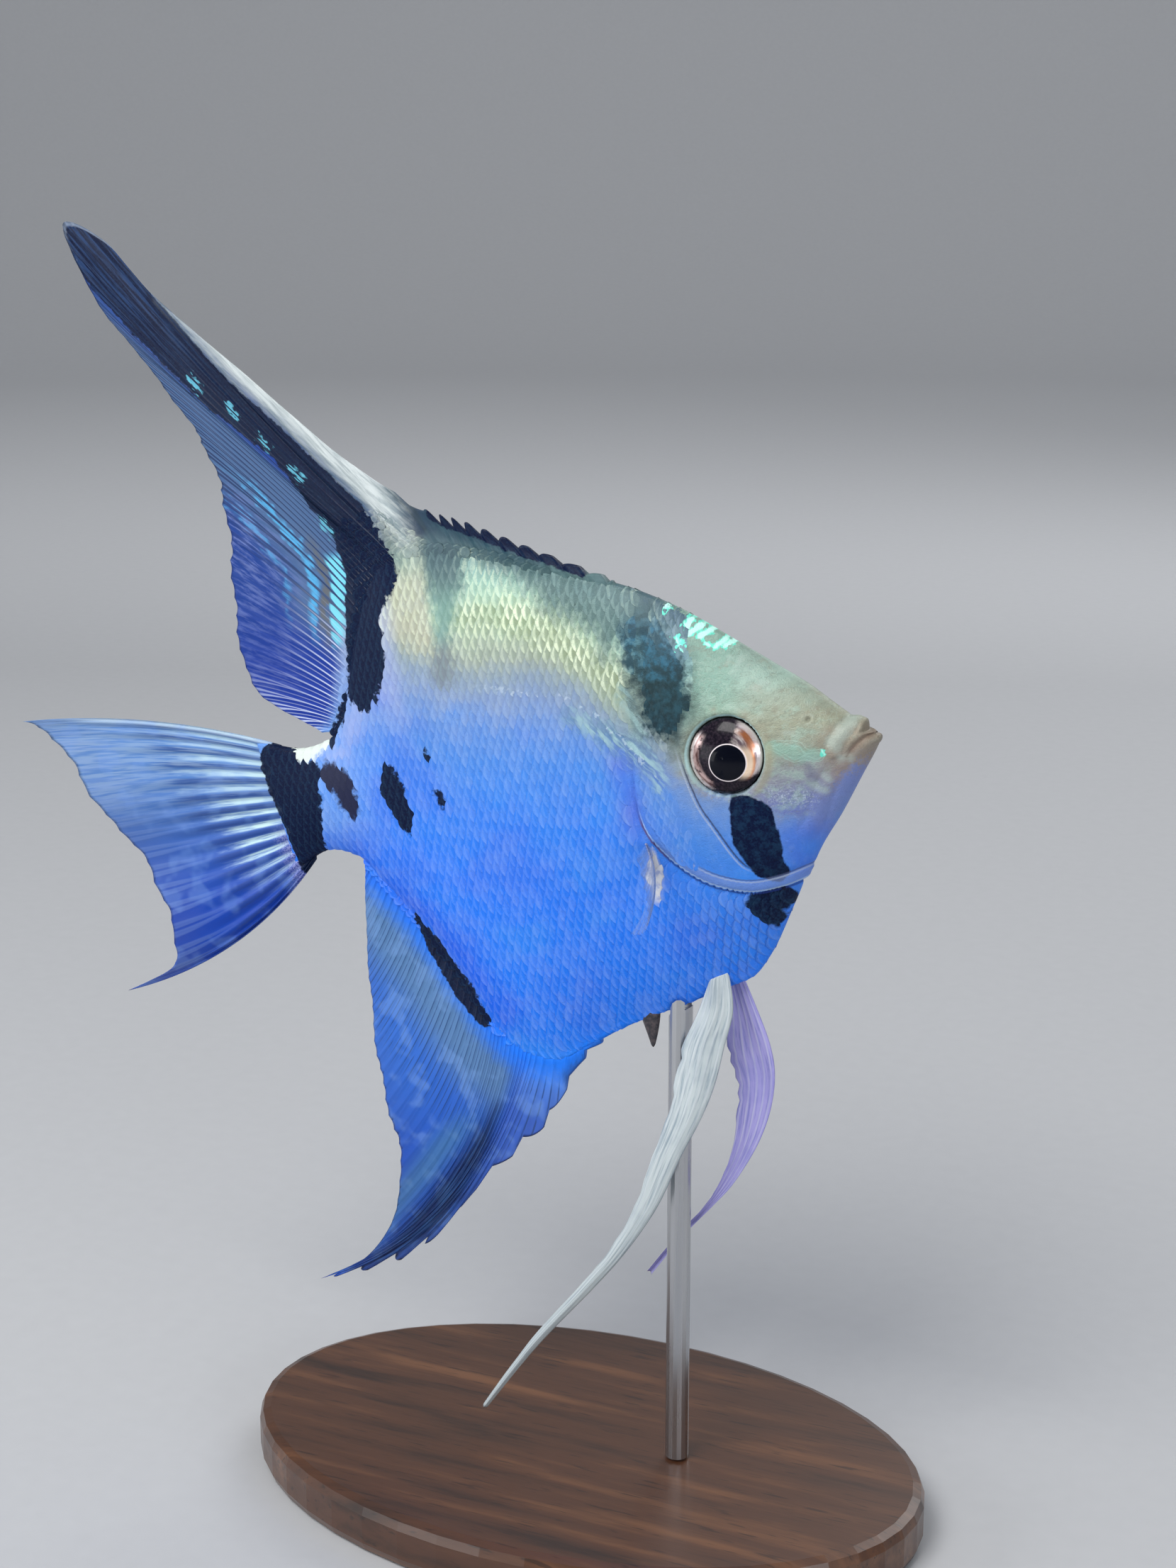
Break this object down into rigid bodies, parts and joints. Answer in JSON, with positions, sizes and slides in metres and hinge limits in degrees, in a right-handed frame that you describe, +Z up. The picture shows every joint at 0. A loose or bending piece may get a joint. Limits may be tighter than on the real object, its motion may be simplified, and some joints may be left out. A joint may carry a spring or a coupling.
{
  "type": "freshwater angelfish model on a display stand",
  "caption": "Still life-size freshwater angelfish with long swept fins, nose up, held by a slim rod on an oval base.",
  "frame": {"origin": "centre of the flat underside of the display base", "axes": "+X to the fish's nose, +Y to the fish's left side, +Z up"},
  "size_m": [0.1036, 0.048, 0.1297],
  "materials": {
    "skin": "silvery scaled skin, cream above and pale blue below, with black marbling",
    "eye": "clear wet cornea over a silver and copper iris",
    "fin": "thin translucent membrane between raised rays",
    "ventral_fin": "pale striated ray blades",
    "pectoral_fin": "nearly clear membrane with fine rays",
    "stand_base": "dark satin wood",
    "stand_rod": "brushed"
  },
  "bodies": {
    "root": {"head": "skin", "lower_jaw": "skin", "trunk": "skin", "tail_stem": "skin", "vent_papilla": "skin", "eye_left": "eye", "eye_right": "eye", "dorsal_fin": "fin", "anal_fin": "fin", "caudal_fin": "fin", "ventral_fin_left": "ventral_fin", "ventral_fin_right": "ventral_fin", "pectoral_fin_left": "pectoral_fin", "pectoral_fin_right": "pectoral_fin", "stand_base": "stand_base", "stand_rod": "stand_rod"}
  },
  "joints": []
}
